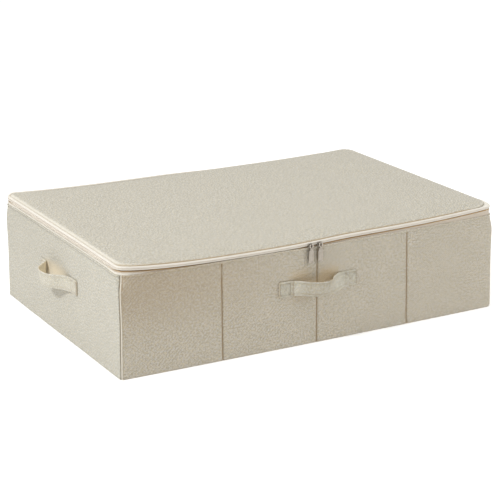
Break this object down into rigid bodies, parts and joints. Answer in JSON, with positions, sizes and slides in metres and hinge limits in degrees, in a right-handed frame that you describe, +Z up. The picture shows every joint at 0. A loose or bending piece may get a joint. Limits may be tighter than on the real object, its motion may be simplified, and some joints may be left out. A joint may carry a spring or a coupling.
{
  "type": "under bed box",
  "caption": "Low rectangular fabric storage box with stiffened walls, a padded lid that zips shut on three sides, webbing handles and a loose base board.",
  "frame": {"origin": "centre of the bottom face, on the surface it stands on", "axes": "+X along the long side to the right seen from the front, +Y to the back where the lid hinges, +Z up"},
  "size_m": [0.7484, 0.4742, 0.18],
  "materials": {
    "wall_fabric": "woven beige linen-look fabric, matt",
    "lid_fabric": "woven beige linen-look fabric, matt",
    "webbing": "folded fabric strap with edge stitching, matt",
    "zip_tape": "ivory woven zip tape",
    "zip_coil": "nylon coil",
    "lining": "non-woven lining",
    "stiffener": "grey board",
    "base_board": "board covered in lining cloth",
    "padding": "thin foam sheet",
    "nickel": "nickel-plated metal"
  },
  "bodies": {
    "box": {"front_cover": "wall_fabric", "back_cover": "wall_fabric", "left_cover": "wall_fabric", "right_cover": "wall_fabric", "bottom_cover": "wall_fabric", "front_board_1": "stiffener", "front_board_2": "stiffener", "front_board_3": "stiffener", "front_board_4": "stiffener", "back_board_1": "stiffener", "back_board_2": "stiffener", "back_board_3": "stiffener", "back_board_4": "stiffener", "left_board": "stiffener", "right_board": "stiffener", "front_lining": "lining", "back_lining": "lining", "left_lining": "lining", "right_lining": "lining", "body_zip_tape": "zip_tape", "body_zip_coil": "zip_coil", "back_hinge_strip": "zip_tape", "zip_stop_left": "nickel", "zip_stop_right": "nickel", "front_handle_end_left": "webbing", "front_handle_end_right": "webbing", "left_handle_end_back": "webbing", "left_handle_end_front": "webbing", "right_handle_end_front": "webbing", "right_handle_end_back": "webbing"},
    "lid": {"lid_top_cover": "lid_fabric", "lid_pad": "padding", "lid_lining": "lining", "lid_zip_tape": "zip_tape", "lid_zip_coil": "zip_coil", "lid_back_band": "zip_tape"},
    "slider_left": {"zip_slider_left": "nickel"},
    "slider_right": {"zip_slider_right": "nickel"},
    "pull_left": {"zip_pull_left": "nickel"},
    "pull_right": {"zip_pull_right": "nickel"},
    "base_insert": {"base_board": "base_board"},
    "front_handle": {"front_handle_strap": "webbing"},
    "left_handle": {"left_handle_strap": "webbing"},
    "right_handle": {"right_handle_strap": "webbing"}
  },
  "joints": [
    {"name": "lid_hinge", "type": "hinge", "parent": "box", "child": "lid", "pos_m": [0, 0.228, 0.173], "axis": [-1, 0, 0], "range_deg": [0, 200]},
    {"name": "zip_left", "type": "slide", "parent": "box", "child": "slider_left", "axis": [-0.9997, 0, 0.0234], "range_m": [0, 0.2997]},
    {"name": "zip_right", "type": "slide", "parent": "box", "child": "slider_right", "axis": [0.9998, 0, 0.0219], "range_m": [0, 0.319]},
    {"name": "pull_left_swing", "type": "hinge", "parent": "slider_left", "child": "pull_left", "pos_m": [-0.0184, -0.2298, 0.1657], "axis": [-1, 0, 0], "range_deg": [0, 160]},
    {"name": "pull_right_swing", "type": "hinge", "parent": "slider_right", "child": "pull_right", "pos_m": [-0.0009, -0.2298, 0.1657], "axis": [-1, 0, 0], "range_deg": [0, 160]},
    {"name": "base_lift", "type": "hinge", "parent": "box", "child": "base_insert", "pos_m": [0, 0.2188, 0.0016], "axis": [-1, 0, 0], "range_deg": [0, 18]},
    {"name": "front_handle_lift", "type": "hinge", "parent": "box", "child": "front_handle", "pos_m": [0, -0.2265, 0.1004], "axis": [-1, 0, 0], "range_deg": [0, 35]},
    {"name": "left_handle_lift", "type": "hinge", "parent": "box", "child": "left_handle", "pos_m": [-0.3515, 0, 0.1004], "axis": [0, 1, 0], "range_deg": [0, 35]},
    {"name": "right_handle_lift", "type": "hinge", "parent": "box", "child": "right_handle", "pos_m": [0.3515, 0, 0.1004], "axis": [0, -1, 0], "range_deg": [0, 35]}
  ]
}
